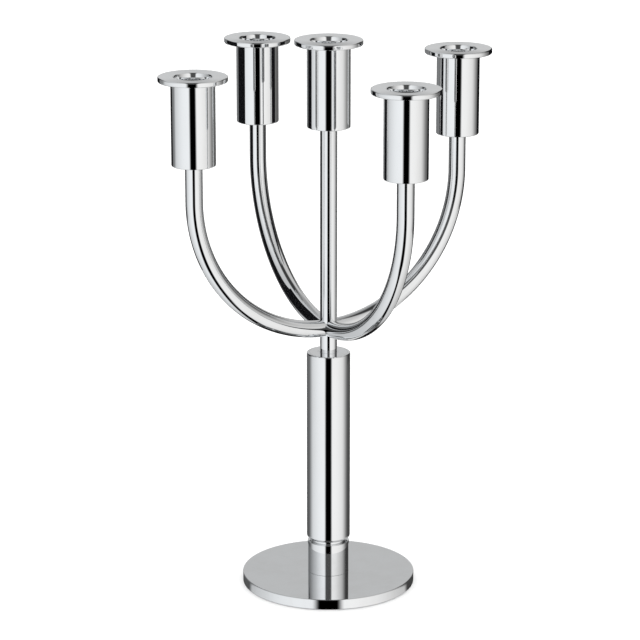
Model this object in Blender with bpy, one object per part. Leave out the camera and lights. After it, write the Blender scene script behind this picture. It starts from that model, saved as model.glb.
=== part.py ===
"""Tabletop candelabra: a round base, a column, a centre stem and four bent tube arms with five candle cups.

Units are metres, +Z is up. The origin is the centre of the underside, on the surface that it stands on, and
the arms lie along +X (right), +Y (back), -X (left) and -Y (front). Every round piece is turned from a closed
profile of (radius, height) points, and every arm is a tube swept along one bend.
"""

import math

import bmesh
import bpy
from mathutils import Matrix, Vector

# Clearances
TOUCH = 0.0003  # between two faces that bear on each other
SLIP = 0.0003  # radial, between a piece and the bore that it turns or slides in
MITRE = 0.00025  # from the mitre plane to the end of an arm

# Base
FELT_THICKNESS = 0.0012
FELT_STANDOUT = 0.0005  # how far the felt holds the metal off the table
FELT_MARGIN = 0.0035  # metal rim left round the felt
BASE_RADIUS = 0.0598
BASE_THICKNESS = 0.0070
BASE_EDGE = 0.0006

# Foot collar and column
COLLAR_INSET = 0.0006  # how much slimmer the collar is than the column
COLLAR_LENGTH = 0.0221
COLLAR_EDGE = 0.0004
NECK_GROOVE = 0.0020  # height of the groove between collar and column
NECK_ENGAGEMENT = 0.0180  # how far the plug reaches into the column
COLUMN_RIM = 0.00195  # metal of the column round its cap
COLUMN_CLEARANCE = 0.0013  # from the socket in the cap to the bore of the column
COLUMN_LENGTH = 0.1351
COLUMN_SHOULDER = 0.0011  # width of the step in the bore that rests on the plug
COLUMN_FOOT_ROUND = 0.0023
COLUMN_TOP_EDGE = 0.0008

# Fasteners
THREAD_RADIUS = 0.0030
SCREW_HEAD_RADIUS = 0.0060
SCREW_GRIP = 0.0092  # length of the base screw inside the plug
SCREW_KEY_RADIUS = 0.0018
SCREW_KEY_DEPTH = 0.0022
ROD_TO_SCREW = 0.0010
CUP_THREAD_RADIUS = 0.0025
CUP_HEAD_RADIUS = 0.0045
CUP_HEAD_HEIGHT = 0.0030
CUP_KEY_RADIUS = 0.0016
CUP_KEY_DEPTH = 0.0018
CUP_SCREW_GRIP = 0.0090  # length of the cup screw inside the tube plug
WASHER_RADIUS = 0.0058
WASHER_THICKNESS = 0.0010

# Tubes, arms and the socket that the branches stand in
TUBE_RADIUS = 0.00585
TUBE_WALL = 0.00125
TUBE_PLUG_LENGTH = 0.0120
BUSH_WALL = 0.0010
BUSH_FLOOR = 0.0015
BUSH_VENT_RADIUS = 0.0020
SOCKET_DEPTH = 0.0390
SOCKET_WALL = 0.0024
SOCKET_THREAD = 0.0080  # threaded length below the socket
CAP_FLANGE = 0.0032  # how far the cap stands out past its socket
CAP_THICKNESS = 0.0040
BRANCH_RISE = 0.0173  # from the column top to the arms
CORE_LENGTH = 0.0300
ARM_REACH = 0.1020
ARM_STUB = 0.0010  # straight run from the axis to the bend
ARM_UPRIGHT = 0.0245  # straight run from the bend to the cup
CENTRE_RISE = 0.0151  # how far the centre cup stands above the others

# Cups, candle sockets and drip pans
CANDLE_RADIUS = 0.0113
CANDLE_DEPTH = 0.0300
SOCKET_LINER_WALL = 0.0019
SOCKET_LINER_FLOOR = 0.0010
SOCKET_LEAD_IN = 0.0010  # how far the mouth widens past the bore
SOCKET_LEAD_DEPTH = 0.0044
SOCKET_BEVEL = 0.0005  # 45 degree edge above the taper
CUP_WALL = 0.0013
CUP_FLOOR = 0.0020
CUP_LENGTH = 0.0562
CUP_FOOT_EDGE = 0.0008
PAN_OVERHANG = 0.0084  # how far a pan reaches past its cup
PAN_THICKNESS = 0.0034
PAN_EDGE = 0.0009
PAN_DISH = 0.0004  # how far a pan falls from its edge to the socket

# Facets
BASE_SIDES = 48
COLUMN_SIDES = 36
CUP_SIDES = 32
TUBE_SIDES = 16
SMALL_SIDES = 16
BEND_STEPS = 10
ROUND_STEPS = 2
SHARP_ANGLE = math.radians(35)

# Heights, from the table up
FELT_TOP = FELT_THICKNESS
FELT_SEAT = FELT_TOP + TOUCH
BASE_BOTTOM = FELT_STANDOUT
BASE_TOP = BASE_BOTTOM + BASE_THICKNESS
COLLAR_BOTTOM = BASE_TOP + TOUCH
COLLAR_TOP = COLLAR_BOTTOM + COLLAR_LENGTH
PLUG_BOTTOM = COLLAR_TOP + TOUCH
COLUMN_BOTTOM = COLLAR_TOP + NECK_GROOVE
COLUMN_TOP = COLUMN_BOTTOM + COLUMN_LENGTH
PLUG_TOP = COLUMN_BOTTOM + NECK_ENGAGEMENT
SHOULDER_HEIGHT = PLUG_TOP + TOUCH
SOCKET_FLOOR = COLUMN_TOP - SOCKET_DEPTH
CAP_BOTTOM = SOCKET_FLOOR - SOCKET_THREAD
BUSH_BOTTOM = SOCKET_FLOOR + TOUCH
STEM_BOTTOM = BUSH_BOTTOM + BUSH_FLOOR + TOUCH
ARM_HEIGHT = COLUMN_TOP + BRANCH_RISE
BEND_RADIUS = ARM_REACH - ARM_STUB
OUTER_CUP_BOTTOM = ARM_HEIGHT + BEND_RADIUS + ARM_UPRIGHT
CENTRE_CUP_BOTTOM = OUTER_CUP_BOTTOM + CENTRE_RISE

# Radii that follow from the ones above
THREAD_HOLE = THREAD_RADIUS + SLIP
CUP_THREAD_HOLE = CUP_THREAD_RADIUS + SLIP
TUBE_BORE = TUBE_RADIUS - TUBE_WALL
BUSH_BORE = TUBE_RADIUS + SLIP
BUSH_RADIUS = BUSH_BORE + BUSH_WALL
SOCKET_BORE = BUSH_RADIUS + SLIP
SOCKET_RADIUS = SOCKET_BORE + SOCKET_WALL
CAP_RADIUS = SOCKET_RADIUS + CAP_FLANGE
COLUMN_RADIUS = CAP_RADIUS + COLUMN_RIM
COLUMN_BORE = SOCKET_RADIUS + COLUMN_CLEARANCE
NECK_RADIUS = COLUMN_BORE + COLUMN_SHOULDER
COLLAR_RADIUS = COLUMN_RADIUS - COLLAR_INSET
LINER_RADIUS = CANDLE_RADIUS + SOCKET_LINER_WALL
CUP_BORE = LINER_RADIUS + SLIP
CUP_RADIUS = CUP_BORE + CUP_WALL
PAN_RADIUS = CUP_RADIUS + PAN_OVERHANG

ARMS = {"right": 0, "back": 90, "left": 180, "front": 270}  # degrees from +X


def remove_scene_objects():
    for old in list(bpy.data.objects):
        bpy.data.objects.remove(old, do_unlink=True)


def make_material(name, colour, roughness, metallic):
    material = bpy.data.materials.new(name)
    material.use_nodes = True
    shader = material.node_tree.nodes["Principled BSDF"]
    shader.inputs["Base Color"].default_value = (*colour, 1.0)
    shader.inputs["Roughness"].default_value = roughness
    shader.inputs["Metallic"].default_value = metallic
    material.diffuse_color = (*colour, 1.0)
    return material


def corner(radius, height, size, outward, upward):
    """Points of a rounded edge from its side to its end face, which would meet at radius and height."""
    centre_radius = radius - outward * size
    centre_height = height - upward * size
    points = []
    for step in range(ROUND_STEPS + 1):
        angle = math.radians(90) * step / ROUND_STEPS
        points.append((
            centre_radius + outward * size * math.cos(angle),
            centre_height + upward * size * math.sin(angle),
        ))
    return points


def turned_mesh(name, profile, sides):
    """A closed profile of (radius, height) points turned about Z. Points on the axis become one pole."""
    shape = bmesh.new()
    ring = [shape.verts.new((radius, 0.0, height)) for radius, height in profile]
    edges = [shape.edges.new((ring[i], ring[(i + 1) % len(ring)])) for i in range(len(ring))]
    edges = [edge for edge in edges if any(vert.co.x > 0 for vert in edge.verts)]
    bmesh.ops.spin(
        shape, geom=ring + edges, cent=(0, 0, 0), axis=(0, 0, 1), angle=math.tau, steps=sides,
        use_merge=True, use_duplicate=False,
    )
    bmesh.ops.remove_doubles(shape, verts=shape.verts, dist=1e-7)
    loose = [edge for edge in shape.edges if not edge.link_faces]
    bmesh.ops.delete(shape, geom=loose, context="EDGES")
    bmesh.ops.recalc_face_normals(shape, faces=shape.faces)
    mesh = bpy.data.meshes.new(name)
    shape.to_mesh(mesh)
    shape.free()
    return mesh


def add_part(name, mesh, material, location=(0, 0, 0), turn=0.0, parent=None):
    mesh.shade_smooth()
    mesh.set_sharp_from_angle(angle=SHARP_ANGLE)
    if not mesh.materials:
        mesh.materials.append(material)
    part = bpy.data.objects.new(name, mesh)
    bpy.context.scene.collection.objects.link(part)
    part.location = location
    part.rotation_euler.z = math.radians(turn)
    part.parent = parent
    return part


def add_empty(name, location, parent=None):
    empty = bpy.data.objects.new(name, None)
    empty.empty_display_size = 0.02
    empty.location = location
    empty.parent = parent
    bpy.context.scene.collection.objects.link(empty)
    return empty


def screw_profile(head_radius, head_height, cone, thread_radius, length, key_radius, key_depth):
    """A screw standing on its head, from z = 0 up. A cone head narrows to the thread."""
    profile = [(0.0, key_depth), (key_radius, key_depth), (key_radius, 0.0), (head_radius, 0.0)]
    if not cone:
        profile.append((head_radius, head_height))
    profile += [(thread_radius, head_height), (thread_radius, length), (0.0, length)]
    return profile


def felt_profile():
    radius = BASE_RADIUS - FELT_MARGIN - SLIP
    return [(0.0, 0.0), (radius, 0.0), (radius, FELT_TOP), (0.0, FELT_TOP)]


def base_profile():
    """A disc with a shallow recess for the felt and a countersunk hole for the screw."""
    cone_gap = TOUCH * math.sqrt(2)
    sink_radius = SCREW_HEAD_RADIUS + cone_gap
    sink_top = FELT_SEAT + sink_radius - THREAD_HOLE
    profile = [(BASE_RADIUS - FELT_MARGIN, FELT_SEAT), (BASE_RADIUS - FELT_MARGIN, BASE_BOTTOM)]
    profile += [(BASE_RADIUS - BASE_EDGE, BASE_BOTTOM), (BASE_RADIUS, BASE_BOTTOM + BASE_EDGE)]
    profile += corner(BASE_RADIUS, BASE_TOP, BASE_EDGE, 1, 1)
    profile += [(THREAD_HOLE, BASE_TOP), (THREAD_HOLE, sink_top), (sink_radius, FELT_SEAT)]
    return profile


def base_screw_profile():
    head_height = SCREW_HEAD_RADIUS - THREAD_RADIUS
    length = PLUG_BOTTOM + SCREW_GRIP - FELT_SEAT
    return screw_profile(
        SCREW_HEAD_RADIUS, head_height, True, THREAD_RADIUS, length, SCREW_KEY_RADIUS, SCREW_KEY_DEPTH
    )


def collar_profile():
    edge = COLLAR_EDGE
    profile = [(THREAD_HOLE, COLLAR_BOTTOM), (COLLAR_RADIUS - edge, COLLAR_BOTTOM)]
    profile += [(COLLAR_RADIUS, COLLAR_BOTTOM + edge), (COLLAR_RADIUS, COLLAR_TOP - edge)]
    profile += [(COLLAR_RADIUS - edge, COLLAR_TOP), (THREAD_HOLE, COLLAR_TOP)]
    return profile


def plug_profile():
    return [
        (THREAD_HOLE, PLUG_BOTTOM), (NECK_RADIUS, PLUG_BOTTOM),
        (NECK_RADIUS, PLUG_TOP), (THREAD_HOLE, PLUG_TOP),
    ]


def column_profile():
    """A thick tube: a wide bore for the plug, a step that rests on it, and a seat for the cap at the top."""
    plug_bore = NECK_RADIUS + SLIP
    cap_seat = CAP_RADIUS + SLIP
    seat_height = COLUMN_TOP - CAP_THICKNESS - TOUCH
    foot = corner(COLUMN_RADIUS, COLUMN_BOTTOM, COLUMN_FOOT_ROUND, 1, -1)
    profile = [(plug_bore, SHOULDER_HEIGHT), (plug_bore, COLUMN_BOTTOM)]
    profile += list(reversed(foot))
    profile += corner(COLUMN_RADIUS, COLUMN_TOP, COLUMN_TOP_EDGE, 1, 1)
    profile += [(cap_seat, COLUMN_TOP), (cap_seat, seat_height)]
    profile += [(COLUMN_BORE, seat_height), (COLUMN_BORE, SHOULDER_HEIGHT)]
    return profile


def cap_profile():
    """A flange flush with the column top and a socket below it, threaded at its lower end for the tie rod."""
    return [
        (THREAD_HOLE, SOCKET_FLOOR), (THREAD_HOLE, CAP_BOTTOM), (SOCKET_RADIUS, CAP_BOTTOM),
        (SOCKET_RADIUS, COLUMN_TOP - CAP_THICKNESS), (CAP_RADIUS, COLUMN_TOP - CAP_THICKNESS),
        (CAP_RADIUS, COLUMN_TOP), (SOCKET_BORE, COLUMN_TOP), (SOCKET_BORE, SOCKET_FLOOR),
    ]


def tie_rod_profile():
    bottom = PLUG_BOTTOM + SCREW_GRIP + ROD_TO_SCREW
    top = SOCKET_FLOOR - TOUCH
    return [(0.0, bottom), (THREAD_RADIUS, bottom), (THREAD_RADIUS, top), (0.0, top)]


def bush_profile():
    floor_top = BUSH_BOTTOM + BUSH_FLOOR
    return [
        (BUSH_VENT_RADIUS, BUSH_BOTTOM), (BUSH_RADIUS, BUSH_BOTTOM), (BUSH_RADIUS, COLUMN_TOP),
        (BUSH_BORE, COLUMN_TOP), (BUSH_BORE, floor_top), (BUSH_VENT_RADIUS, floor_top),
    ]


def stem_profile():
    top = CENTRE_CUP_BOTTOM - TOUCH
    return [(TUBE_BORE, STEM_BOTTOM), (TUBE_RADIUS, STEM_BOTTOM), (TUBE_RADIUS, top), (TUBE_BORE, top)]


def core_profile():
    radius = TUBE_BORE - SLIP
    bottom = ARM_HEIGHT - CORE_LENGTH / 2
    top = ARM_HEIGHT + CORE_LENGTH / 2
    return [(0.0, bottom), (radius, bottom), (radius, top), (0.0, top)]


def tube_plug_profile():
    """The threaded plug in the top end of a tube. Heights are from the cup's underside."""
    radius = TUBE_BORE - SLIP
    top = -TOUCH
    bottom = top - TUBE_PLUG_LENGTH
    return [(CUP_THREAD_HOLE, bottom), (radius, bottom), (radius, top), (CUP_THREAD_HOLE, top)]


def cup_profile():
    """A straight cup with a hole in its floor. Heights are from its underside."""
    profile = [(CUP_THREAD_HOLE, CUP_FLOOR), (CUP_THREAD_HOLE, 0.0)]
    profile += list(reversed(corner(CUP_RADIUS, 0.0, CUP_FOOT_EDGE, 1, -1)))
    profile += [(CUP_RADIUS, CUP_LENGTH), (CUP_BORE, CUP_LENGTH), (CUP_BORE, CUP_FLOOR)]
    return profile


def washer_profile():
    bottom = CUP_FLOOR + TOUCH
    top = bottom + WASHER_THICKNESS
    return [(CUP_THREAD_HOLE, bottom), (WASHER_RADIUS, bottom), (WASHER_RADIUS, top), (CUP_THREAD_HOLE, top)]


def cup_screw_profile():
    """The screw turned over: its head is up and its thread points down into the tube plug."""
    head_bottom = CUP_FLOOR + TOUCH + WASHER_THICKNESS + TOUCH
    head_top = head_bottom + CUP_HEAD_HEIGHT
    length = head_top + TOUCH + CUP_SCREW_GRIP
    upright = screw_profile(
        CUP_HEAD_RADIUS, CUP_HEAD_HEIGHT, False, CUP_THREAD_RADIUS, length, CUP_KEY_RADIUS, CUP_KEY_DEPTH
    )
    return [(radius, head_top - height) for radius, height in upright]


def liner_profile():
    """A thin cup with a tapered, bevelled mouth. Heights are from the candle cup's underside."""
    pan_top = CUP_LENGTH + TOUCH + PAN_THICKNESS
    seat = pan_top - CANDLE_DEPTH
    bottom = seat - SOCKET_LINER_FLOOR
    top = pan_top - PAN_DISH
    mouth = CANDLE_RADIUS + SOCKET_LEAD_IN
    return [
        (0.0, bottom), (LINER_RADIUS, bottom), (LINER_RADIUS, top), (mouth + SOCKET_BEVEL, top),
        (mouth, top - SOCKET_BEVEL), (CANDLE_RADIUS, top - SOCKET_LEAD_DEPTH),
        (CANDLE_RADIUS, seat), (0.0, seat),
    ]


def pan_profile():
    """A slightly dished ring that holds the candle socket. Heights are from the candle cup's underside."""
    bottom = CUP_LENGTH + TOUCH
    top = bottom + PAN_THICKNESS
    hole = LINER_RADIUS + SLIP
    profile = [(hole, top - PAN_DISH), (hole, bottom)]
    profile += list(reversed(corner(PAN_RADIUS, bottom, PAN_EDGE, 1, -1)))
    profile += corner(PAN_RADIUS, top, PAN_EDGE, 1, 1)
    return profile


def arm_path():
    """Centre line of an arm past its coped end, as (distance from the axis, height, tilt from level)."""
    points = []
    first_bend = math.asin(min(1.0, max(0.0, (1.5 * TUBE_RADIUS - ARM_STUB) / BEND_RADIUS)))
    for step in range(BEND_STEPS + 1):
        tilt = first_bend + (math.radians(90) - first_bend) * step / BEND_STEPS
        points.append((
            ARM_STUB + BEND_RADIUS * math.sin(tilt),
            ARM_HEIGHT + BEND_RADIUS * (1 - math.cos(tilt)),
            tilt,
        ))
    points.append((ARM_REACH, OUTER_CUP_BOTTOM - TOUCH, math.radians(90)))
    return points


def coped_distance(sideways):
    """How near the axis an arm begins: at the stem's wall in the middle, at the mitre planes beside it."""
    stem = TUBE_RADIUS + TOUCH
    saddle = math.sqrt(max(0.0, stem**2 - sideways**2))
    return max(saddle, abs(sideways) + MITRE)


def arm_mesh(name):
    """A tube along +X, swept along the arm's path, with an outer and an inner wall joined at both ends."""
    shape = bmesh.new()
    walls = []
    for radius in (TUBE_RADIUS, TUBE_BORE):
        rings = []
        coped = []
        for side in range(TUBE_SIDES):
            angle = math.tau * side / TUBE_SIDES
            sideways = radius * math.cos(angle)
            height = ARM_HEIGHT + radius * math.sin(angle)
            coped.append(shape.verts.new((coped_distance(sideways), sideways, height)))
        rings.append(coped)
        for distance, height, tilt in arm_path():
            across = Vector((-math.sin(tilt), 0.0, math.cos(tilt)))
            centre = Vector((distance, 0.0, height))
            ring = []
            for side in range(TUBE_SIDES):
                angle = math.tau * side / TUBE_SIDES
                offset = Vector((0.0, radius * math.cos(angle), 0.0)) + across * radius * math.sin(angle)
                ring.append(shape.verts.new(centre + offset))
            rings.append(ring)
        walls.append(rings)
    outer, inner = walls
    strips = [(rings[i], rings[i + 1]) for rings in walls for i in range(len(rings) - 1)]
    strips += [(outer[0], inner[0]), (outer[-1], inner[-1])]
    for first, second in strips:
        for side in range(TUBE_SIDES):
            after = (side + 1) % TUBE_SIDES
            shape.faces.new((first[side], first[after], second[after], second[side]))
    bmesh.ops.recalc_face_normals(shape, faces=shape.faces)
    mesh = bpy.data.meshes.new(name)
    shape.to_mesh(mesh)
    shape.free()
    return mesh


def build_base(metal, felt, steel):
    add_part("base_felt", turned_mesh("base_felt", felt_profile(), BASE_SIDES), felt)
    add_part("base_disc", turned_mesh("base_disc", base_profile(), BASE_SIDES), metal)
    screw = turned_mesh("base_screw", base_screw_profile(), SMALL_SIDES)
    add_part("base_screw", screw, steel, location=(0, 0, FELT_SEAT))
    add_part("foot_collar", turned_mesh("foot_collar", collar_profile(), COLUMN_SIDES), metal)


def build_column(metal, steel):
    add_part("column_plug", turned_mesh("column_plug", plug_profile(), COLUMN_SIDES), metal)
    add_part("column_tube", turned_mesh("column_tube", column_profile(), COLUMN_SIDES), metal)
    add_part("column_cap", turned_mesh("column_cap", cap_profile(), COLUMN_SIDES), metal)
    add_part("tie_rod", turned_mesh("tie_rod", tie_rod_profile(), SMALL_SIDES), steel)


def build_branches(metal, steel, branches):
    add_part("centre_stem", turned_mesh("centre_stem", stem_profile(), TUBE_SIDES), metal, parent=branches)
    add_part("stem_core", turned_mesh("stem_core", core_profile(), SMALL_SIDES), steel, parent=branches)
    arm = arm_mesh("arm")
    for place, turn in ARMS.items():
        add_part(f"arm_{place}", arm, metal, turn=turn, parent=branches)


def build_candle_places(metal, steel, brass, branches):
    """A cup on every tube end with its plug, screw and washer, and a drip pan and socket that lift out."""
    cup = turned_mesh("cup", cup_profile(), CUP_SIDES)
    plug = turned_mesh("tube_plug", tube_plug_profile(), SMALL_SIDES)
    washer = turned_mesh("cup_washer", washer_profile(), SMALL_SIDES)
    screw = turned_mesh("cup_screw", cup_screw_profile(), SMALL_SIDES)
    liner = turned_mesh("candle_socket", liner_profile(), CUP_SIDES)
    pan = turned_mesh("drip_pan", pan_profile(), CUP_SIDES)
    places = {"centre": Vector((0, 0, CENTRE_CUP_BOTTOM))}
    for place, turn in ARMS.items():
        places[place] = Matrix.Rotation(math.radians(turn), 3, "Z") @ Vector((ARM_REACH, 0, OUTER_CUP_BOTTOM))
    for place, foot in places.items():
        add_part(f"tube_plug_{place}", plug, brass, location=foot, parent=branches)
        add_part(f"cup_{place}", cup, metal, location=foot, parent=branches)
        add_part(f"cup_washer_{place}", washer, steel, location=foot, parent=branches)
        add_part(f"cup_screw_{place}", screw, steel, location=foot, parent=branches)
        lift = add_empty(f"pan_lift_{place}", foot, parent=branches)
        add_part(f"candle_socket_{place}", liner, metal, parent=lift)
        add_part(f"drip_pan_{place}", pan, metal, parent=lift)


def main():
    remove_scene_objects()
    metal = make_material("polished_metal", (0.80, 0.81, 0.82), 0.06, 1.0)
    steel = make_material("bright_steel", (0.55, 0.55, 0.56), 0.30, 1.0)
    brass = make_material("turned_brass", (0.72, 0.56, 0.28), 0.30, 1.0)
    felt = make_material("black_felt", (0.02, 0.02, 0.022), 0.95, 0.0)
    build_base(metal, felt, steel)
    build_column(metal, steel)
    swivel = add_empty("branch_swivel", (0, 0, 0))
    add_part("socket_bush", turned_mesh("socket_bush", bush_profile(), SMALL_SIDES), brass, parent=swivel)
    branches = add_empty("branch_lift", (0, 0, 0), parent=swivel)
    build_branches(metal, steel, branches)
    build_candle_places(metal, steel, brass, branches)
    bpy.context.view_layer.update()


main()
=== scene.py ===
"""The looks of the tabletop candelabra: turned and bent pieces of polished metal, on a plain pale floor."""

import math

import bmesh
import bpy
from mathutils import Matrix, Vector


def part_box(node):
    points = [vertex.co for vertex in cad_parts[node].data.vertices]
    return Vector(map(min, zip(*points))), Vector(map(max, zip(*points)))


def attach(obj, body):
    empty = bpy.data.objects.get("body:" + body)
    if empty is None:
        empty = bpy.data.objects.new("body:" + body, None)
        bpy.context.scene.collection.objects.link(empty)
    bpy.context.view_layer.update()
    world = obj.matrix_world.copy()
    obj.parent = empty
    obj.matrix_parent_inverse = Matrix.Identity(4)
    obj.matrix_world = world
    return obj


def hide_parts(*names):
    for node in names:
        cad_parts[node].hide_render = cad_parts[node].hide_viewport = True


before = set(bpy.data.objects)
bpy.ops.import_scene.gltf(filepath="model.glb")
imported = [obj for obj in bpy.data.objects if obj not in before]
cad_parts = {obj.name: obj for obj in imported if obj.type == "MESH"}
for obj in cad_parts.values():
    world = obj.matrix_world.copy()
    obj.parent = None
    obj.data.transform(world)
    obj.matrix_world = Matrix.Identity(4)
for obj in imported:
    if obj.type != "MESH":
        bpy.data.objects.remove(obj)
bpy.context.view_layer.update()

MM = 0.001

# Edges
FINE_EDGE = 0.12 * MM
SMALL_EDGE = 0.35 * MM
FINE_STEPS = 4
ROUND_STEPS = 10
ROUND_FROM = 0.8 * MM  # an edge this wide is turned in more steps
SMOOTH_ANGLE = math.radians(31)
SAME_PLACE = 0.005 * MM  # how near a ring its points are
SAME_POINT = 0.0001 * MM  # points this near are one
LEVEL_FACE = 0.9  # how upright the normal of a level face is

# How many sides and steps the round pieces have
PLATE_SIDES = 256
ROUND_SIDES = 160
TUBE_SIDES = 72
SMALL_SIDES = 48
BEND_STEPS = 96

# Sizes that the box of a node doesn't give
SEAM = 0.06 * MM  # between two faces that touch
SLIDE = 0.12 * MM  # between two faces that slide
SCREW_HOLE = 3.3 * MM
COUNTERSINK = 6.4 * MM
BASE_EDGE = 0.6 * MM
COLLAR_EDGE = 0.4 * MM
FOOT_ROUND = 2.3 * MM
COLUMN_TOP_EDGE = 0.9 * MM
COLUMN_BORE = 11.15 * MM
CAP_THICKNESS = 4.0 * MM
CAP_SOCKET_WALL = 2.4 * MM
CAP_THREAD_LENGTH = 8.0 * MM
BUSH_FLOOR = 1.5 * MM
VENT_RADIUS = 2.0 * MM
TUBE_WALL = 1.25 * MM
ARM_STUB = 1.0 * MM
ARM_SINK = 0.05 * MM  # how far an arm reaches into the stem's wall
CUP_WALL = 1.3 * MM
CUP_FLOOR = 2.0 * MM
CUP_HOLE = 2.8 * MM
CUP_EDGE = 0.8 * MM
PAN_EDGE = 1.0 * MM
CANDLE_BORE = 11.3 * MM
CANDLE_MOUTH = 12.3 * MM
LEAD_IN_DEPTH = 4.4 * MM
MOUTH_BEVEL = 0.5 * MM
CANDLE_FLOOR = 1.0 * MM
SCREW_HEAD_EDGE = 1.2 * MM
CUP_SCREW_PLAY = 0.3 * MM
KEY_RADIUS = 1.9 * MM
KEY_DEPTH = 1.8 * MM
KEY_CORNER_INSET = 0.3  # of its radius

# Metals and felt. Colours are in linear light, and a scale is that of a noise
PLATING_BRIGHT = (0.905, 0.915, 0.925)
PLATING_DULL = (0.875, 0.88, 0.885)
WIPE_SCALE, SPECK_SCALE, RING_SCALE, PLATING_WAVE_SCALE = 55.0, 900.0, 1400.0, 42.0
WIPE_LENGTHENING = 0.25  # noise is pulled out along Z by this scale
WIPED_ROUGHNESS = (0.030, 0.060)
SPECK_ROUGHNESS = (0.0, 0.02)
PLATING_WAVE_DEPTH = 0.04 * MM
POLISHING_RING_SHARE = 0.004  # of the wave's depth
STEEL_BRIGHT, STEEL_DARK = (0.60, 0.60, 0.61), (0.42, 0.42, 0.43)
STEEL_PITCH, STEEL_ROUGHNESS = 1.0 * MM, 0.22
BRASS_BRIGHT, BRASS_DARK = (0.78, 0.60, 0.30), (0.55, 0.40, 0.18)
BRASS_PITCH, BRASS_ROUGHNESS = 0.4 * MM, 0.25
STAIN_SCALE, STAIN_ROUGHNESS = 160.0, 0.18
WAVE_SCALE = math.tau / 20  # one band of the wave texture for each unit
THREAD_STRENGTH, THREAD_DEPTH = 0.6, 1 / 8  # the depth is a share of the pitch
FELT_DARK, FELT_LIGHT = (0.012, 0.012, 0.014), (0.024, 0.024, 0.027)
FIBRE_COLOUR = (0.07, 0.07, 0.075)
PATCH_SCALE, FIBRE_SCALE = 90.0, 2600.0
FIBRE_STRENGTH, FIBRE_DEPTH = 0.9, 0.2 * MM
FIBRE_LENGTHENING = 0.18  # noise is pulled out along a fibre by this scale

ARM_TURNS = {"right": 0, "back": 90, "left": 180, "front": 270}
PLACES = ("centre", *ARM_TURNS)

# The camera stands to the front left of the object and looks a little down on it
VIEW_TURN = -29.31
VIEW_TILT = 15.96
VIEW_AIM = 0.17
VIEW_DISTANCE = 1.9707
VIEW_HEIGHT = 0.7532
VIEW_LENS = 167.98
VIEW_SENSOR = 36
VIEW_CLIP = (0.05, 50)

# The studio. Places and directions in it are measured to the right, away and up as the camera stands
FLOOR_SIZE = 14
FLOOR_GRAIN_SCALE, FLOOR_DARK, FLOOR_LIGHT = 400.0, (0.93, 0.93, 0.93), (0.95, 0.95, 0.95)
FLAG_BOTTOM, FLAG_TOP = 0.12, 0.48
FLAG_NAP_SCALE, FLAG_DARK, FLAG_LIGHT = 300.0, (0.004, 0.004, 0.005), (0.008, 0.008, 0.009)
BLACK_FLAGS = {  # (right, away) of both ends of a black card
    "flag_left": ((-0.200, 0.028), (-0.200, 0.190)),
    "flag_right": ((0.121, 0.065), (0.121, 0.102)),
    "flag_right_back": ((0.121, 0.065), (0.500, 0.310)),
}
ROOM_LIGHT = 1.40  # on all that isn't polished

# What the metal mirrors. Each pair is where a soft step begins and ends, or the levels that it goes between
HORIZON = (-0.06, 0.08)
WALL_STEP, WALL_LEVELS = (-1.0, 0.95), (0.50, 0.96)
HIGH_WALL_STEP, HIGH_WALL_LEVELS = (0.15, 0.95), (0.60, 0.96)
CUP_VIEW = 0.20  # how far down a cup mirrors; the lower pieces mirror further down
TABLE_EDGE = (0.347, 0.356)
TABLE_TOP, TABLE_SLOPE = 0.36, 2.8
TABLE_STRIP_START, TABLE_STRIP_WIDTH = 0.56, 0.16
LEFT_START, LEFT_WIDTH, LEFT_SHARE = (0.13, -1.3), (0.30, 2.8), (0.60, 1.4)  # (at the cups, slope below)
RIGHT_START, RIGHT_WIDTH, RIGHT_SHARE = -0.25, 0.87, (0.75, 0.9)
HIGH_LEFT_STEP, HIGH_LEFT_SHARE = (-0.50, 0.85), 0.72
HIGH_RIGHT_STEP, HIGH_RIGHT_SHARE = (-0.35, 0.50), 0.92
MIDDLE = (-0.05, 0.05)
CEILING = (0.42, 0.62)
PANEL_SIDES, PANEL_FOOT = (0.86, 0.93), (0.0, 0.05)
PANEL_LOW, PANEL_LOW_LEVELS = (0.04, 0.18), (0.26, 0.62)
PANEL_HIGH, PANEL_HIGH_LEVELS = (0.22, 0.36), (1.0, 0.86)
GAP_SIDES = (0.19, 0.36)
GAP_NARROWS, GAP_NARROWING = (0.70, 0.90), (1.0, 1.8)
GAP_BEHIND, GAP_HIGH, GAP_LOW = (-0.1, 0.15), (0.58, 0.70), (0.45, 0.65)
GAP_OVERHEAD, GAP_OVERHEAD_SHARES = (0.25, 0.55), (0.92, 0.35)
TINT_STEP = (-0.5, 0.6)
LEFT_TINT, RIGHT_TINT = (0.965, 0.985, 1.0), (1.0, 0.995, 0.985)


# Where the frame's pieces are

def radius_of(node):
    low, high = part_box(node)
    return (high.x - low.x) / 2


def heights_of(node):
    low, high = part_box(node)
    return low.z, high.z


def foot_of(place):
    """The middle of a candle cup's underside."""
    low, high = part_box(f"cup_{place}")
    return Vector(((low.x + high.x) / 2, (low.y + high.y) / 2, low.z))


# Modelling tools: every step is one that is taken by hand in edit mode

def deselect_all():
    bpy.ops.object.select_all(action="DESELECT")


def edit(piece, mode):
    deselect_all()
    bpy.context.view_layer.objects.active = piece
    piece.select_set(True)
    bpy.ops.object.mode_set(mode="EDIT")
    bpy.ops.mesh.select_mode(type=mode)
    bpy.ops.mesh.select_all(action="SELECT")


def stop_editing():
    bpy.ops.object.mode_set(mode="OBJECT")


def select_ring(piece, radius, height):
    """Selects the edges of one turned ring by their place."""
    shape = bmesh.from_edit_mesh(piece.data)
    for edge in shape.edges:
        away = [abs(vert.co.xy.length - radius) + abs(vert.co.z - height) for vert in edge.verts]
        edge.select_set(max(away) < SAME_PLACE)
    bmesh.update_edit_mesh(piece.data)


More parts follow.
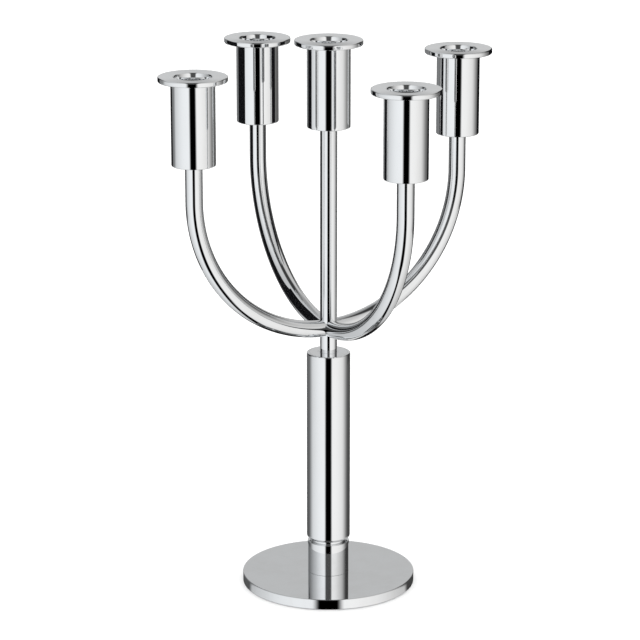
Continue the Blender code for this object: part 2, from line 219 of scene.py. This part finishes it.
def round_ring(piece, radius, height, width):
    select_ring(piece, radius, height)
    steps = ROUND_STEPS if width >= ROUND_FROM else FINE_STEPS
    bpy.ops.mesh.bevel(
        offset=width, offset_type="OFFSET", segments=steps, affect="EDGES", clamp_overlap=True
    )


def turned(name, outline, sides):
    """A piece turned about Z. Each (radius, height, edge) is a ring, extruded and scaled from the last.

    An outline that begins off the axis closes on itself, as a tube's does. Otherwise its first and last
    rings are filled flat. A ring with an edge width is rounded by that much.
    """
    hollow = outline[0][0] > 0
    rings = [ring for ring in outline if ring[0] > 0]
    deselect_all()
    bpy.ops.mesh.primitive_circle_add(
        vertices=sides, radius=rings[0][0], location=(0, 0, rings[0][1]),
        fill_type="NOTHING" if hollow else "NGON",
    )
    piece = bpy.context.active_object
    piece.name = piece.data.name = name
    bpy.ops.object.transform_apply(location=True, rotation=True, scale=True)
    edit(piece, "EDGE" if hollow else "FACE")
    following = rings[1:] + rings[:1] if hollow else rings[1:]
    for (radius, height, _), (next_radius, next_height, _) in zip(rings, following):
        bpy.ops.mesh.extrude_region_move(TRANSFORM_OT_translate={"value": (0, 0, next_height - height)})
        if next_radius != radius:
            share = next_radius / radius
            bpy.ops.transform.resize(value=(share, share, 1), center_override=(0, 0, next_height))
    bpy.ops.mesh.select_all(action="SELECT")
    bpy.ops.mesh.remove_doubles(threshold=SAME_POINT)
    bpy.ops.mesh.normals_make_consistent(inside=False)
    bpy.ops.mesh.select_mode(type="EDGE")
    for radius, height, width in rings:
        if width > 0:
            round_ring(piece, radius, height, width)
    stop_editing()
    return piece


def apply_modifier(piece, kind, **settings):
    deselect_all()
    bpy.context.view_layer.objects.active = piece
    piece.select_set(True)
    modifier = piece.modifiers.new(kind.lower(), kind)
    for name, value in settings.items():
        setattr(modifier, name, value)
    bpy.ops.object.modifier_apply(modifier=modifier.name)


def smooth(piece):
    """Smooth shading that leaves flat faces flat, so that they mirror without a bend."""
    deselect_all()
    bpy.context.view_layer.objects.active = piece
    piece.select_set(True)
    bpy.ops.object.shade_smooth_by_angle(angle=SMOOTH_ANGLE)
    apply_modifier(piece, "WEIGHTED_NORMAL", mode="FACE_AREA", weight=100, keep_sharp=True)


def copy_to(piece, name, place, turn=0.0):
    """A copy with its own mesh, moved and turned about Z, with its place applied to the mesh."""
    deselect_all()
    bpy.context.view_layer.objects.active = piece
    piece.select_set(True)
    bpy.ops.object.duplicate(linked=False)
    copy = bpy.context.active_object
    copy.name = copy.data.name = name
    copy.location = place
    copy.rotation_euler.z = math.radians(turn)
    bpy.ops.object.transform_apply(location=True, rotation=True, scale=True)
    return copy


def remove(piece):
    bpy.data.objects.remove(piece, do_unlink=True)


def finish_piece(piece, node, body, material):
    piece.data.materials.clear()
    piece.data.materials.append(material)
    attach(piece, body)
    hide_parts(node)


def key_socket(piece, height, depth):
    """Cuts a six-sided key socket down into a screw head whose top is at this height."""
    deselect_all()
    bpy.ops.mesh.primitive_cylinder_add(
        vertices=6, radius=KEY_RADIUS, depth=2 * depth, location=(0, 0, height), end_fill_type="NGON"
    )
    cutter = bpy.context.active_object
    edit(cutter, "FACE")
    bpy.ops.mesh.select_all(action="DESELECT")
    shape = bmesh.from_edit_mesh(cutter.data)
    for face in shape.faces:
        face.select_set(abs(face.normal.z) > LEVEL_FACE)
    bmesh.update_edit_mesh(cutter.data)
    bpy.ops.mesh.inset(thickness=KEY_CORNER_INSET * KEY_RADIUS)
    stop_editing()
    apply_modifier(piece, "BOOLEAN", operation="DIFFERENCE", solver="EXACT", object=cutter)
    remove(cutter)


# Materials

class Nodes:
    """Adds nodes to a tree and links them, in short words."""

    def __init__(self, tree):
        self.tree = tree

    def add(self, kind, **settings):
        node = self.tree.nodes.new(kind)
        for name, value in settings.items():
            setattr(node, name, value)
        return node

    def link(self, source, target):
        self.tree.links.new(source, target)

    def math(self, operation, first, second=None, third=None):
        node = self.add("ShaderNodeMath", operation=operation)
        for socket, value in zip(node.inputs, (first, second, third)):
            if value is None:
                continue
            if isinstance(value, (int, float)):
                socket.default_value = value
            else:
                self.link(value, socket)
        return node.outputs[0]

    def step(self, value, limits, levels=(0.0, 1.0)):
        """A soft step from the first level to the second, as the value goes from one limit to the other."""
        node = self.add("ShaderNodeMapRange", interpolation_type="SMOOTHSTEP")
        self.link(value, node.inputs["Value"])
        for name, number in zip(("From Min", "From Max", "To Min", "To Max"), (*limits, *levels)):
            node.inputs[name].default_value = number
        return node.outputs["Result"]

    def blend(self, share, first, second):
        """A number that goes from first to second as share goes from 0 to 1."""
        return self.math("MULTIPLY_ADD", share, self.math("SUBTRACT", second, first), first)

    def dimmed(self, level, share):
        """A level, less a share of it."""
        return self.math("MULTIPLY", level, self.math("SUBTRACT", 1.0, share))

    def length(self, first, second):
        return self.math("SQRT", self.math(
            "ADD", self.math("MULTIPLY", first, first), self.math("MULTIPLY", second, second)
        ))

    def bump(self, height, strength, distance, shader):
        node = self.add("ShaderNodeBump")
        node.inputs["Strength"].default_value = strength
        node.inputs["Distance"].default_value = distance
        self.link(height, node.inputs["Height"])
        self.link(node.outputs["Normal"], shader.inputs["Normal"])

    def noise(self, coordinates, scale, detail=2.0, roughness=0.5):
        node = self.add("ShaderNodeTexNoise")
        node.inputs["Scale"].default_value = scale
        node.inputs["Detail"].default_value = detail
        node.inputs["Roughness"].default_value = roughness
        self.link(coordinates, node.inputs["Vector"])
        return node.outputs["Fac"]

    def mix(self, share, first, second):
        """A mix of two colours, each a socket or three numbers."""
        node = self.add("ShaderNodeMix", data_type="RGBA")
        for name, value in (("Factor", share), ("A", first), ("B", second)):
            socket = [found for found in node.inputs if found.name == name and found.enabled][0]
            if isinstance(value, tuple):
                socket.default_value = (*value, 1.0)
            elif isinstance(value, (int, float)):
                socket.default_value = value
            else:
                self.link(value, socket)
        return [found for found in node.outputs if found.enabled][0]


def new_material(name):
    material = bpy.data.materials.new(name)
    material.use_nodes = True
    nodes = Nodes(material.node_tree)
    return material, nodes, material.node_tree.nodes["Principled BSDF"]


def object_coordinates(nodes, centre=(0, 0, 0), scale=(1, 1, 1)):
    """Object coordinates, measured from the middle of the piece."""
    coordinates = nodes.add("ShaderNodeTexCoord").outputs["Object"]
    mapping = nodes.add("ShaderNodeMapping")
    mapping.inputs["Location"].default_value = [-along * size for along, size in zip(centre, scale)]
    mapping.inputs["Scale"].default_value = scale
    nodes.link(coordinates, mapping.inputs["Vector"])
    return mapping.outputs["Vector"]


def polishing_rings(nodes, centre):
    """Fine rings round the axis of a turned piece: one set up its side and one out along its flat faces."""
    split = nodes.add("ShaderNodeSeparateXYZ")
    nodes.link(object_coordinates(nodes, centre), split.inputs[0])
    place = nodes.add("ShaderNodeCombineXYZ")
    nodes.link(nodes.length(split.outputs["X"], split.outputs["Y"]), place.inputs["X"])
    nodes.link(split.outputs["Z"], place.inputs["Y"])
    return nodes.noise(place.outputs["Vector"], RING_SCALE, detail=3.0, roughness=0.6)


def polished_metal(name, centre=(0, 0, 0), rings=True):
    """Bright plating: faint wipe marks, a slow waviness and, where the piece was turned, fine rings."""
    material, nodes, shader = new_material(name)
    place = object_coordinates(nodes, centre)
    upright = object_coordinates(nodes, centre, (1, 1, WIPE_LENGTHENING))
    wipes = nodes.noise(upright, WIPE_SCALE, detail=4.0, roughness=0.6)
    specks = nodes.noise(place, SPECK_SCALE, detail=2.0)
    nodes.link(
        nodes.mix(nodes.step(wipes, (0.35, 0.7)), PLATING_BRIGHT, PLATING_DULL), shader.inputs["Base Color"]
    )
    wiped = nodes.step(wipes, (0.45, 0.75), WIPED_ROUGHNESS)
    speckled = nodes.step(specks, (0.6, 0.8), SPECK_ROUGHNESS)
    nodes.link(nodes.math("ADD", wiped, speckled), shader.inputs["Roughness"])
    waves = nodes.noise(place, PLATING_WAVE_SCALE, detail=1.0)
    marks = polishing_rings(nodes, centre) if rings else specks
    marks = nodes.math("MULTIPLY", marks, POLISHING_RING_SHARE)
    nodes.bump(nodes.math("ADD", waves, marks), 1.0, PLATING_WAVE_DEPTH, shader)
    shader.inputs["Metallic"].default_value = 1.0
    return material


def machined_metal(name, bright, dark, thread_pitch, roughness):
    """Steel or brass as it comes off the machine: turned lines and stains that darken it at random."""
    material, nodes, shader = new_material(name)
    place = object_coordinates(nodes)
    stains = nodes.noise(place, STAIN_SCALE, detail=4.0, roughness=0.65)
    nodes.link(nodes.mix(nodes.step(stains, (0.35, 0.7)), bright, dark), shader.inputs["Base Color"])
    stained = nodes.step(stains, (0.3, 0.75), (roughness, roughness + STAIN_ROUGHNESS))
    nodes.link(stained, shader.inputs["Roughness"])
    wave = nodes.add("ShaderNodeTexWave", wave_type="BANDS", bands_direction="Z", wave_profile="TRI")
    wave.inputs["Scale"].default_value = WAVE_SCALE / thread_pitch
    wave.inputs["Distortion"].default_value = 0.0
    nodes.link(place, wave.inputs["Vector"])
    nodes.bump(wave.outputs["Fac"], THREAD_STRENGTH, THREAD_DEPTH * thread_pitch, shader)
    shader.inputs["Metallic"].default_value = 1.0
    return material


def felt_material(name):
    """Pressed wool: short fibres that cross at random, with a soft sheen and a little lint."""
    material, nodes, shader = new_material(name)
    pulled = object_coordinates(nodes, scale=(1, FIBRE_LENGTHENING, 1))
    along = nodes.noise(pulled, FIBRE_SCALE, detail=3.0, roughness=0.7)
    stretched = object_coordinates(nodes, scale=(FIBRE_LENGTHENING, 1, 1))
    across = nodes.noise(stretched, FIBRE_SCALE, detail=3.0, roughness=0.7)
    fibres = nodes.math("MAXIMUM", along, across)
    patches = nodes.noise(object_coordinates(nodes), PATCH_SCALE, detail=3.0)
    wool = nodes.mix(nodes.step(patches, (0.3, 0.7)), FELT_DARK, FELT_LIGHT)
    nodes.link(nodes.mix(nodes.step(fibres, (0.6, 0.8)), wool, FIBRE_COLOUR), shader.inputs["Base Color"])
    nodes.bump(fibres, FIBRE_STRENGTH, FIBRE_DEPTH, shader)
    shader.inputs["Roughness"].default_value = 0.95
    shader.inputs["Sheen Weight"].default_value = 0.35
    shader.inputs["Sheen Roughness"].default_value = 0.5
    return material


# Base and column

def make_base(metal, steel, felt):
    felt_bottom, felt_top = heights_of("base_felt")
    felt_radius = radius_of("base_felt")
    plate_bottom, plate_top = heights_of("base_disc")
    plate_radius = radius_of("base_disc")
    seat = felt_top + SEAM
    pad = turned("felt_pad", [
        (0, felt_bottom, 0), (felt_radius, felt_bottom, SMALL_EDGE),
        (felt_radius, felt_top, FINE_EDGE), (0, felt_top, 0),
    ], PLATE_SIDES)
    smooth(pad)
    finish_piece(pad, "base_felt", "base", felt)

    recess = felt_radius + SLIDE
    plate = turned("base_plate", [
        (SCREW_HOLE, plate_top, 0), (plate_radius, plate_top, BASE_EDGE),
        (plate_radius, plate_bottom, SMALL_EDGE), (recess, plate_bottom, FINE_EDGE), (recess, seat, 0),
        (COUNTERSINK, seat, 0), (SCREW_HOLE, seat + COUNTERSINK - SCREW_HOLE, 0),
    ], PLATE_SIDES)
    smooth(plate)
    finish_piece(plate, "base_disc", "base", metal)

    screw_bottom, screw_top = heights_of("base_screw")
    head = radius_of("base_screw")
    shank = head / 2
    screw = turned("countersunk_screw", [
        (0, screw_bottom, 0), (head, screw_bottom, FINE_EDGE), (shank, screw_bottom + head - shank, 0),
        (shank, screw_top, SMALL_EDGE), (0, screw_top, 0),
    ], SMALL_SIDES)
    key_socket(screw, screw_bottom, KEY_DEPTH)
    smooth(screw)
    finish_piece(screw, "base_screw", "base", steel)

    collar_top = heights_of("foot_collar")[1]
    collar_radius = radius_of("foot_collar")
    collar = turned("collar", [
        (SCREW_HOLE, plate_top + SEAM, 0), (collar_radius, plate_top + SEAM, FINE_EDGE),
        (collar_radius, collar_top, COLLAR_EDGE), (SCREW_HOLE, collar_top, 0),
    ], ROUND_SIDES)
    smooth(collar)
    finish_piece(collar, "foot_collar", "base", metal)


def make_column(metal):
    collar_top = heights_of("foot_collar")[1]
    plug_top = heights_of("column_plug")[1]
    neck = radius_of("column_plug")
    plug = turned("column_neck", [
        (SCREW_HOLE, collar_top + SEAM, 0), (neck, collar_top + SEAM, FINE_EDGE),
        (neck, plug_top, SMALL_EDGE), (SCREW_HOLE, plug_top, 0),
    ], ROUND_SIDES)
    smooth(plug)
    finish_piece(plug, "column_plug", "base", metal)

    bottom, top = heights_of("column_tube")
    radius = radius_of("column_tube")
    cap_radius = radius_of("column_cap")
    bush_radius = radius_of("socket_bush")
    cap_seat = top - CAP_THICKNESS
    tube = turned("column", [
        (neck + SEAM, plug_top + SEAM, 0), (neck + SEAM, bottom, 0), (radius, bottom, FOOT_ROUND),
        (radius, top, COLUMN_TOP_EDGE), (cap_radius + SEAM, top, 0),
        (cap_radius + SEAM, cap_seat - SEAM, 0), (COLUMN_BORE, cap_seat - SEAM, 0),
        (COLUMN_BORE, plug_top + SEAM, 0),
    ], ROUND_SIDES)
    smooth(tube)
    finish_piece(tube, "column_tube", "base", metal)

    cap_bottom = heights_of("column_cap")[0]
    socket_floor = cap_bottom + CAP_THREAD_LENGTH
    socket = bush_radius + SEAM
    cap = turned("column_top_cap", [
        (SCREW_HOLE, socket_floor, 0), (SCREW_HOLE, cap_bottom, 0),
        (socket + CAP_SOCKET_WALL, cap_bottom, SMALL_EDGE), (socket + CAP_SOCKET_WALL, cap_seat, 0),
        (cap_radius, cap_seat, FINE_EDGE), (cap_radius, top, 0), (socket, top, 0),
        (socket, socket_floor, 0),
    ], ROUND_SIDES)
    smooth(cap)
    finish_piece(cap, "column_cap", "base", metal)


def make_bush(metal):
    bottom, top = heights_of("socket_bush")
    radius = radius_of("socket_bush")
    bore = radius_of("centre_stem") + SLIDE
    bush = turned("stem_bush", [
        (VENT_RADIUS, bottom, 0), (radius, bottom, SMALL_EDGE), (radius, top, 0), (bore, top, FINE_EDGE),
        (bore, bottom + BUSH_FLOOR, 0), (VENT_RADIUS, bottom + BUSH_FLOOR, 0),
    ], TUBE_SIDES)
    smooth(bush)
    finish_piece(bush, "socket_bush", "swivel_bush", metal)


# Branches

def make_stem(metal):
    bottom = heights_of("centre_stem")[0]
    top = heights_of("cup_centre")[0]
    radius = radius_of("centre_stem")
    bore = radius - TUBE_WALL
    stem = turned("stem", [
        (bore, bottom, FINE_EDGE), (radius, bottom, SMALL_EDGE), (radius, top, 0), (bore, top, 0),
    ], TUBE_SIDES)
    smooth(stem)
    finish_piece(stem, "centre_stem", "branches", metal)


def make_arms(metal):
    """One bar end is spun round the bend and drawn up to the cup. Its foot is cut to fit the stem."""
    radius = radius_of("centre_stem")
    height = heights_of("arm_right")[0] + radius
    reach = foot_of("right").x
    bend = reach - ARM_STUB
    deselect_all()
    bpy.ops.mesh.primitive_circle_add(
        vertices=TUBE_SIDES, radius=radius, location=(ARM_STUB, 0, height),
        rotation=(0, math.radians(90), 0), fill_type="NGON",
    )
    arm = bpy.context.active_object
    bpy.ops.object.transform_apply(location=True, rotation=True, scale=True)
    edit(arm, "FACE")
    bpy.ops.mesh.spin(
        steps=BEND_STEPS, angle=math.radians(90), center=(ARM_STUB, 0, height + bend), axis=(0, 1, 0),
        dupli=False,
    )
    upright = foot_of("right").z - (height + bend)
    bpy.ops.mesh.extrude_region_move(TRANSFORM_OT_translate={"value": (0, 0, upright)})
    for side in (-1, 1):
        bpy.ops.mesh.select_all(action="SELECT")
        bpy.ops.mesh.bisect(plane_co=(0, 0, 0), plane_no=(1, side, 0), use_fill=True, clear_inner=True)
    bpy.ops.mesh.select_all(action="SELECT")
    bpy.ops.mesh.remove_doubles(threshold=SAME_POINT)
    bpy.ops.mesh.normals_make_consistent(inside=False)
    stop_editing()
    deselect_all()
    bpy.ops.mesh.primitive_cylinder_add(
        vertices=TUBE_SIDES, radius=radius - ARM_SINK, depth=4 * radius, location=(0, 0, height)
    )
    stem_shape = bpy.context.active_object
    apply_modifier(arm, "BOOLEAN", operation="DIFFERENCE", solver="EXACT", object=stem_shape)
    remove(stem_shape)
    for place, turn in ARM_TURNS.items():
        branch = copy_to(arm, f"bent_arm_{place}", (0, 0, 0), turn)
        smooth(branch)
        finish_piece(branch, f"arm_{place}", "branches", metal)
    remove(arm)


# Candle cups, pans and sockets. Each is modelled once, standing on z = 0 as the cup does

def model_cup(radius, length):
    bore = radius - CUP_WALL
    return turned("cup", [
        (CUP_HOLE, 0, FINE_EDGE), (radius, 0, CUP_EDGE), (radius, length, FINE_EDGE),
        (bore, length, FINE_EDGE), (bore, CUP_FLOOR, SMALL_EDGE), (CUP_HOLE, CUP_FLOOR, FINE_EDGE),
    ], ROUND_SIDES)


def model_pan(radius, hole, bottom, top, hole_top):
    return turned("pan", [
        (hole, bottom, 0), (radius, bottom, PAN_EDGE), (radius, top, PAN_EDGE), (hole, hole_top, 0),
    ], ROUND_SIDES)


def model_socket(radius, bottom, top):
    return turned("socket", [
        (0, bottom, 0), (radius, bottom, SMALL_EDGE), (radius, top, 0),
        (CANDLE_MOUTH + MOUTH_BEVEL, top, 0), (CANDLE_MOUTH, top - MOUTH_BEVEL, 0),
        (CANDLE_BORE, top - LEAD_IN_DEPTH, 0),
        (CANDLE_BORE, bottom + CANDLE_FLOOR, SMALL_EDGE), (0, bottom + CANDLE_FLOOR, 0),
    ], ROUND_SIDES)


def model_washer(radius, bottom, top):
    return turned("washer", [
        (CUP_HOLE, bottom, FINE_EDGE), (radius, bottom, FINE_EDGE), (radius, top, FINE_EDGE),
        (CUP_HOLE, top, FINE_EDGE),
    ], SMALL_SIDES)


def model_screw(head, shank, bottom, shoulder, top):
    screw = turned("screw", [
        (0, bottom, 0), (shank, bottom, SMALL_EDGE), (shank, shoulder, 0), (head, shoulder, FINE_EDGE),
        (head, top, SCREW_HEAD_EDGE), (0, top, 0),
    ], SMALL_SIDES)
    key_socket(screw, top, KEY_DEPTH)
    return screw


def make_candle_places(metals, steel):
    """A cup with its screw and washer rides with the branches. The pan and the socket in it lift out."""
    foot = foot_of("centre")
    cup_low, cup_high = heights_of("cup_centre")
    pan_high = heights_of("drip_pan_centre")[1]
    socket_low, socket_high = heights_of("candle_socket_centre")
    washer_low, washer_high = heights_of("cup_washer_centre")
    screw_low, screw_high = heights_of("cup_screw_centre")
    length = cup_high - cup_low
    socket_radius = radius_of("candle_socket_centre")
    washer_top = CUP_FLOOR + SEAM + washer_high - washer_low
    models = {
        "cup": model_cup(radius_of("cup_centre"), length),
        "drip_pan": model_pan(
            radius_of("drip_pan_centre"), socket_radius + SEAM, length + SEAM, pan_high - foot.z,
            socket_high - foot.z,
        ),
        "candle_socket": model_socket(socket_radius, socket_low - foot.z, socket_high - foot.z),
        "cup_washer": model_washer(radius_of("cup_washer_centre"), CUP_FLOOR + SEAM, washer_top),
        "cup_screw": model_screw(
            radius_of("cup_screw_centre"), CUP_HOLE - CUP_SCREW_PLAY, screw_low - foot.z, washer_top + SEAM,
            screw_high - foot.z,
        ),
    }
    for model in models.values():
        smooth(model)
    for place in PLACES:
        for node, model in models.items():
            lifts = node in ("drip_pan", "candle_socket")
            plated = lifts or node == "cup"
            piece = copy_to(model, f"turned_{node}_{place}", foot_of(place))
            finish_piece(
                piece, f"{node}_{place}", f"pan_{place}" if lifts else "branches",
                metals[place] if plated else steel,
            )
    for model in models.values():
        remove(model)


def dress_hidden_nodes(steel, brass):
    """The rods and plugs inside keep their plain shapes, with threads from the material."""
    for name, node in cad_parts.items():
        if node.hide_render:
            continue
        node.data.materials.clear()
        node.data.materials.append(brass if name.startswith("tube_plug") else steel)


# Floor, light and camera

def make_floor():
    deselect_all()
    bpy.ops.mesh.primitive_plane_add(size=FLOOR_SIZE, location=(0, 0, 0))
    floor = bpy.context.active_object
    floor.name = "floor"
    material, nodes, shader = new_material("pale_floor")
    grain = nodes.noise(object_coordinates(nodes), FLOOR_GRAIN_SCALE, detail=3.0)
    nodes.link(nodes.mix(grain, FLOOR_DARK, FLOOR_LIGHT), shader.inputs["Base Color"])
    shader.inputs["Roughness"].default_value = 0.9
    shader.inputs["Specular IOR Level"].default_value = 0.1
    floor.data.materials.append(material)
    floor.visible_glossy = False


def black_flag(name, start, end):
    """A black card that stands between two points, (right, away) of the axis. Only the metal sees it."""
    sine, cosine = math.sin(math.radians(VIEW_TURN)), math.cos(math.radians(VIEW_TURN))
    ends = [
        Vector((right * cosine - away * sine, right * sine + away * cosine)) for right, away in (start, end)
    ]
    along = ends[1] - ends[0]
    middle = (ends[0] + ends[1]) / 2
    deselect_all()
    bpy.ops.mesh.primitive_plane_add(size=1)
    flag = bpy.context.active_object
    flag.name = name
    flag.scale = (along.length, FLAG_TOP - FLAG_BOTTOM, 1)
    flag.rotation_euler = (math.radians(90), 0, math.atan2(along.y, along.x))
    flag.location = (middle.x, middle.y, (FLAG_BOTTOM + FLAG_TOP) / 2)
    material, nodes, shader = new_material(name)
    nap = nodes.noise(object_coordinates(nodes), FLAG_NAP_SCALE)
    nodes.link(nodes.mix(nap, FLAG_DARK, FLAG_LIGHT), shader.inputs["Base Color"])
    shader.inputs["Roughness"].default_value = 1.0
    shader.inputs["Specular IOR Level"].default_value = 0.0
    flag.data.materials.append(material)
    flag.visible_camera = False
    flag.visible_diffuse = False
    flag.visible_shadow = False


def studio_sides(nodes, near, round_back, right, up, down, above):
    """Two white side walls, brightest in front, with darkness past their far ends.

    The lower it is, the softer the darkness begins. On the white table only a strip of it is left.
    """
    walls = nodes.blend(
        above, nodes.step(near, WALL_STEP, WALL_LEVELS), nodes.step(near, HIGH_WALL_STEP, HIGH_WALL_LEVELS)
    )
    below_cups = nodes.math("MAXIMUM", nodes.math("SUBTRACT", down, CUP_VIEW), 0.0)
    over_table = nodes.math("MAXIMUM", nodes.math("SUBTRACT", down, TABLE_TOP), 0.0)
    past = nodes.math("SUBTRACT", round_back, nodes.math("MULTIPLY", over_table, TABLE_SLOPE))
    at_table = nodes.step(down, TABLE_EDGE)

    def sloped(level):
        at_cups, slope = level
        return nodes.math("MULTIPLY_ADD", below_cups, slope, at_cups)

    def dark_end(start, width, share, high_step, high_share):
        start = nodes.blend(at_table, start, TABLE_STRIP_START)
        width = nodes.blend(at_table, width, TABLE_STRIP_WIDTH)
        reached = nodes.math("DIVIDE", nodes.math("SUBTRACT", past, start), width)
        dark = nodes.math("MULTIPLY", nodes.step(reached, (0.0, 1.0)), share)
        return nodes.blend(above, dark, nodes.step(past, high_step, (0.0, high_share)))

    dark_left = dark_end(
        sloped(LEFT_START), sloped(LEFT_WIDTH), sloped(LEFT_SHARE), HIGH_LEFT_STEP, HIGH_LEFT_SHARE
    )
    dark_right = dark_end(RIGHT_START, RIGHT_WIDTH, sloped(RIGHT_SHARE), HIGH_RIGHT_STEP, HIGH_RIGHT_SHARE)
    dark = nodes.blend(nodes.step(right, MIDDLE), dark_left, dark_right)
    dark = nodes.math("MULTIPLY", dark, nodes.step(up, CEILING, (1.0, 0.0)))
    return nodes.dimmed(walls, dark)


def with_back_panel(nodes, level, round_back, up):
    """A grey panel stands straight behind the object, down to the table."""
    low_part = nodes.step(up, PANEL_LOW, PANEL_LOW_LEVELS)
    high_part = nodes.step(up, PANEL_HIGH, PANEL_HIGH_LEVELS)
    panel_level = nodes.math("MULTIPLY", low_part, high_part)
    panel = nodes.math("MULTIPLY", nodes.step(round_back, PANEL_SIDES), nodes.step(up, PANEL_FOOT))
    return nodes.blend(panel, level, panel_level)


def gap_between_walls(nodes, right, away, up, down, above):
    """The dark gap runs all the way round, over the top and below, but stops behind the object."""
    aside = nodes.math("ABSOLUTE", right)
    narrowed = nodes.math("MULTIPLY", aside, nodes.step(down, GAP_NARROWS, GAP_NARROWING))
    gap = nodes.step(narrowed, GAP_SIDES, (1.0, 0.0))
    behind = nodes.math("MULTIPLY", nodes.step(away, GAP_BEHIND), nodes.step(up, GAP_HIGH, (1.0, 0.0)))
    behind = nodes.math("MULTIPLY", behind, nodes.step(down, GAP_LOW, (1.0, 0.0)))
    overhead = nodes.step(away, GAP_OVERHEAD, GAP_OVERHEAD_SHARES)
    return nodes.math("MULTIPLY", nodes.dimmed(gap, behind), nodes.blend(above, 1.0, overhead))


def make_world():
    """A white tent, turned with the camera. All that isn't polished gets plain even light from it."""
    world = bpy.data.worlds.new("studio")
    bpy.context.scene.world = world
    world.use_nodes = True
    nodes = Nodes(world.node_tree)
    world.node_tree.nodes.clear()
    direction = nodes.add("ShaderNodeTexCoord").outputs["Generated"]
    turn = nodes.add("ShaderNodeVectorRotate", rotation_type="Z_AXIS")
    turn.inputs["Angle"].default_value = math.radians(-VIEW_TURN)
    nodes.link(direction, turn.inputs["Vector"])
    split = nodes.add("ShaderNodeSeparateXYZ")
    nodes.link(turn.outputs["Vector"], split.inputs[0])
    right, away, up = split.outputs["X"], split.outputs["Y"], split.outputs["Z"]
    near = nodes.math("MULTIPLY", away, -1.0)
    down = nodes.math("MULTIPLY", up, -1.0)
    round_back = nodes.math("DIVIDE", away, nodes.length(right, away))  # -1 in front, 1 straight behind
    above = nodes.step(up, HORIZON)

    level = studio_sides(nodes, near, round_back, right, up, down, above)
    level = with_back_panel(nodes, level, round_back, up)
    level = nodes.dimmed(level, gap_between_walls(nodes, right, away, up, down, above))

    mirrored = nodes.add("ShaderNodeBackground")
    nodes.link(nodes.mix(nodes.step(right, TINT_STEP), LEFT_TINT, RIGHT_TINT), mirrored.inputs["Color"])
    nodes.link(level, mirrored.inputs["Strength"])
    plain = nodes.add("ShaderNodeBackground")
    plain.inputs["Color"].default_value = (1, 1, 1, 1)
    plain.inputs["Strength"].default_value = ROOM_LIGHT
    choose = nodes.add("ShaderNodeMixShader")
    nodes.link(nodes.add("ShaderNodeLightPath").outputs["Is Glossy Ray"], choose.inputs["Fac"])
    nodes.link(plain.outputs[0], choose.inputs[1])
    nodes.link(mirrored.outputs[0], choose.inputs[2])
    nodes.link(choose.outputs[0], nodes.add("ShaderNodeOutputWorld").inputs["Surface"])


def make_camera():
    camera = bpy.data.objects.new("camera", bpy.data.cameras.new("camera"))
    bpy.context.scene.collection.objects.link(camera)
    turn = math.radians(VIEW_TURN)
    camera.location = (VIEW_DISTANCE * math.sin(turn), -VIEW_DISTANCE * math.cos(turn), VIEW_HEIGHT)
    camera.rotation_euler = (math.radians(90 - VIEW_TILT), 0, math.radians(VIEW_TURN + VIEW_AIM))
    camera.data.lens = VIEW_LENS
    camera.data.sensor_width = VIEW_SENSOR
    camera.data.clip_start, camera.data.clip_end = VIEW_CLIP
    bpy.context.scene.camera = camera


def main():
    make_camera()
    metals = {place: polished_metal(f"polished_metal_{place}", foot_of(place)) for place in PLACES}
    bent_metal = polished_metal("polished_metal_arms", rings=False)
    steel = machined_metal("bright_steel", STEEL_BRIGHT, STEEL_DARK, STEEL_PITCH, STEEL_ROUGHNESS)
    brass = machined_metal("turned_brass", BRASS_BRIGHT, BRASS_DARK, BRASS_PITCH, BRASS_ROUGHNESS)
    felt = felt_material("black_felt")
    make_base(metals["centre"], steel, felt)
    make_column(metals["centre"])
    make_bush(metals["centre"])
    make_stem(metals["centre"])
    make_arms(bent_metal)
    make_candle_places(metals, steel)
    dress_hidden_nodes(steel, brass)
    make_floor()
    for name, (start, end) in BLACK_FLAGS.items():
        black_flag(name, start, end)
    make_world()
    bpy.context.scene.view_settings.view_transform = "Standard"


main()
